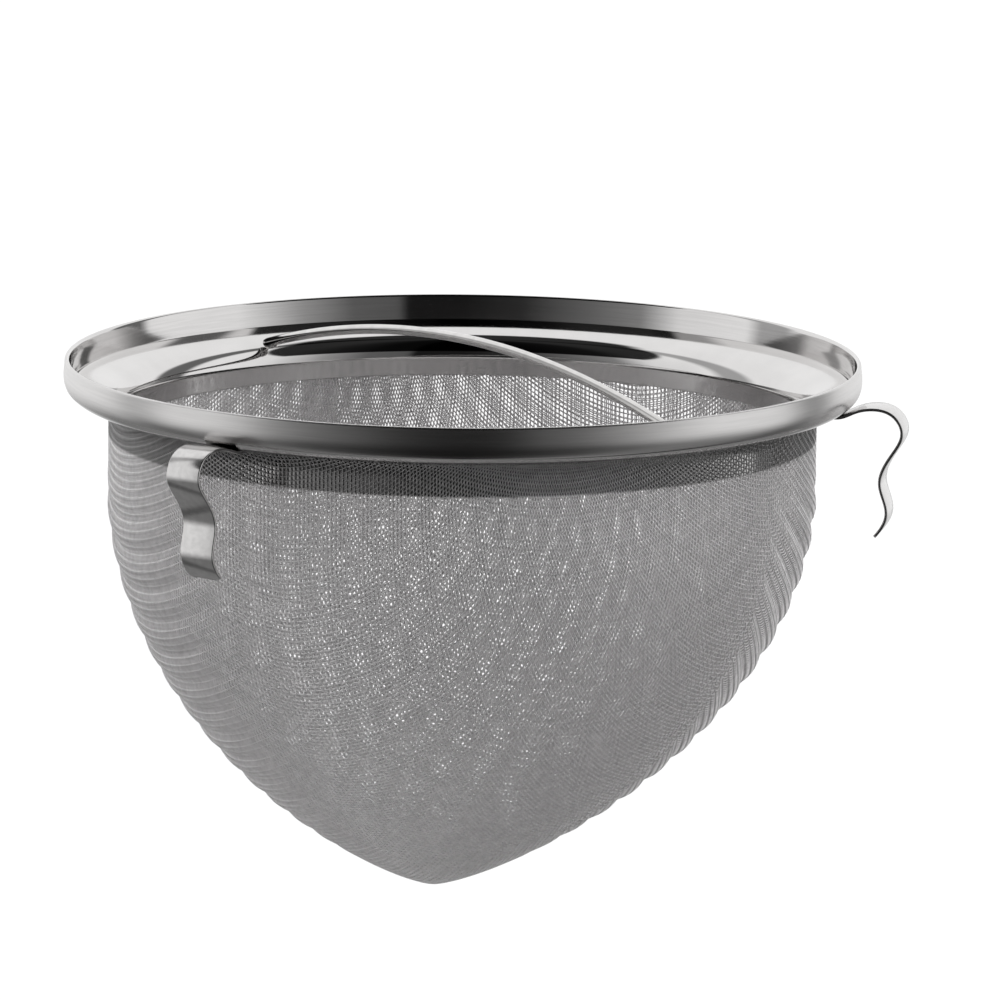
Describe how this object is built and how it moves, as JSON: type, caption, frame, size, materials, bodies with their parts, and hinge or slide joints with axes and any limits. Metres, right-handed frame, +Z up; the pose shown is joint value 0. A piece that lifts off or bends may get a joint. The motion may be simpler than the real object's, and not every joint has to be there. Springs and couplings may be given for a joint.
{
  "type": "double sieve strainer",
  "caption": "Double honey strainer: a fine mesh bag on a hooked steel rim, with a coarse mesh bag nested inside it that lifts out by a wire bow.",
  "frame": {"origin": "centre of the rim, in the plane in which the three hooks bear on the tank's edge", "axes": "+Z up along the rim's axis, +X towards the right hook, -Y towards the front"},
  "size_m": [0.2749, 0.2693, 0.1822],
  "materials": {
    "rim_steel": "polished inside, satin outer band",
    "fine_mesh": "woven bright wire",
    "ring_steel": "mirror polished",
    "coarse_mesh": "woven bright wire",
    "bow_wire": "bright drawn wire",
    "hook_steel": "bright spring strip"
  },
  "bodies": {
    "hung_frame": {"rim_ring": "rim_steel", "fine_mesh_bag": "fine_mesh", "hook_left": "hook_steel", "hook_right": "hook_steel", "hook_rear": "hook_steel"},
    "coarse_sieve": {"coarse_sieve_ring": "ring_steel", "coarse_mesh_bag": "coarse_mesh", "carry_bow": "bow_wire"}
  },
  "joints": [
    {"name": "coarse_sieve_lift", "type": "slide", "parent": "hung_frame", "child": "coarse_sieve", "axis": [0, 0, 1], "range_m": [0, 0.185]}
  ]
}
